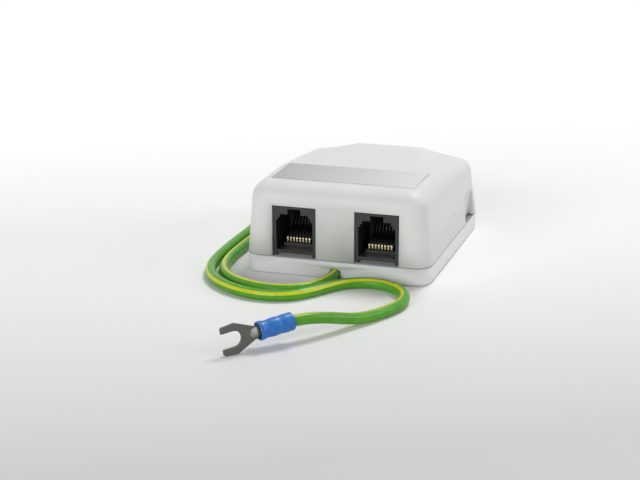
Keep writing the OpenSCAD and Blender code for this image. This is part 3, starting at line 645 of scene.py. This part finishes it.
# Tones of the floor, placed as shares of the stretch from FLOOR_FRONT to FLOOR_BACK. The darker
# tones to the front are painted shade, a falloff of light.
FLOOR_TONES = [(0.03, 0.67), (0.16, 0.76), (0.35, 0.87), (0.47, 0.92), (0.62, 0.97)]
FLOOR_FRONT, FLOOR_BACK = -0.18, 0.12


def make_floor():
    """Pale floor that turns white towards the back for the camera, darker to the front in painted
    shade, and keeps the shadows.
    """
    mesh = bpy.data.meshes.new("floor")
    corners = [(x * FLOOR_HALF, y * FLOOR_HALF, 0) for x, y in ((-1, -1), (1, -1), (1, 1), (-1, 1))]
    mesh.from_pydata(corners, [], [(0, 1, 2, 3)])
    floor = bpy.data.objects.new("floor", mesh)
    bpy.context.scene.collection.objects.link(floor)
    m = Maker("floor")
    parts = m.split()
    # Distance behind the middle of the box, on a line that runs back and to the left.
    heading = m.maths("ADD", m.maths("MULTIPLY", parts["Y"], 0.95),
                      m.maths("MULTIPLY", parts["X"], -0.53))
    # Painted shade: the floor's colour darkens towards the front.
    tone = m.ramp(m.spread(heading, 0.0, 1.0, FLOOR_FRONT, FLOOR_BACK),
                  [(share, grey(level)) for share, level in FLOOR_TONES])
    m.set(Base_Color=tone, Roughness=0.55, Specular_IOR_Level=0.42)
    glow = m.add("ShaderNodeEmission")
    glow.inputs["Color"].default_value = (1, 1, 1, 1)
    seen = sees_background(m.tree.nodes, m.tree.links)
    reach = m.add("ShaderNodeVectorMath")
    reach.operation = "LENGTH"
    m.join(m.place(), reach.inputs[0])
    far = m.maths("MAXIMUM", m.spread(heading, 0.0, 1.0, 0.04, 0.17),
                  m.spread(reach.outputs["Value"], 0.0, 1.0, 0.24, 0.60))
    blend = m.add("ShaderNodeMixShader")
    m.join(m.maths("MULTIPLY", seen, far), blend.inputs[0])
    m.join(m.shader.outputs["BSDF"], blend.inputs[1])
    m.join(glow.outputs["Emission"], blend.inputs[2])
    m.join(blend.outputs["Shader"], m.output.inputs["Surface"])
    mesh.materials.append(m.material)


def make_world(level):
    """Even pale surroundings: white to look at, and of the given level as light."""
    world = bpy.data.worlds.new("studio")
    bpy.context.scene.world = world
    world.use_nodes = True
    tree = world.node_tree
    tree.nodes.clear()
    out = tree.nodes.new("ShaderNodeOutputWorld")
    soft = tree.nodes.new("ShaderNodeBackground")
    soft.inputs["Color"].default_value = (1, 1, 1, 1)
    soft.inputs["Strength"].default_value = level
    white = tree.nodes.new("ShaderNodeBackground")
    white.inputs["Color"].default_value = (1, 1, 1, 1)
    white.inputs["Strength"].default_value = 1.0
    mix = tree.nodes.new("ShaderNodeMixShader")
    tree.links.new(sees_background(tree.nodes, tree.links), mix.inputs[0])
    tree.links.new(soft.outputs[0], mix.inputs[1])
    tree.links.new(white.outputs[0], mix.inputs[2])
    tree.links.new(mix.outputs[0], out.inputs["Surface"])


LAMP_AIM = Vector((0, 0, 0.01))


def make_lamp(name, place, size, power):
    """Rectangular lamp that points at the box, with its sizes in metres and power in watts."""
    data = bpy.data.lights.new(name, "AREA")
    data.shape = "RECTANGLE"
    data.size, data.size_y = size
    data.energy = power
    lamp = bpy.data.objects.new(name, data)
    lamp.location = place
    lamp.rotation_euler = (LAMP_AIM - Vector(place)).to_track_quat("-Z", "Y").to_euler()
    bpy.context.scene.collection.objects.link(lamp)


make_floor()
make_world(0.22)
make_lamp("overhead", (0.28, 0.74, 1.40), (0.55, 0.50), 14.2)
make_lamp("right", (2.20, 0.50, 0.98), (1.00, 1.00), 11.0)
make_lamp("front", (-0.55, -2.10, 0.72), (1.40, 0.80), 23.0)

scene = bpy.context.scene
scene.view_settings.view_transform = "Standard"
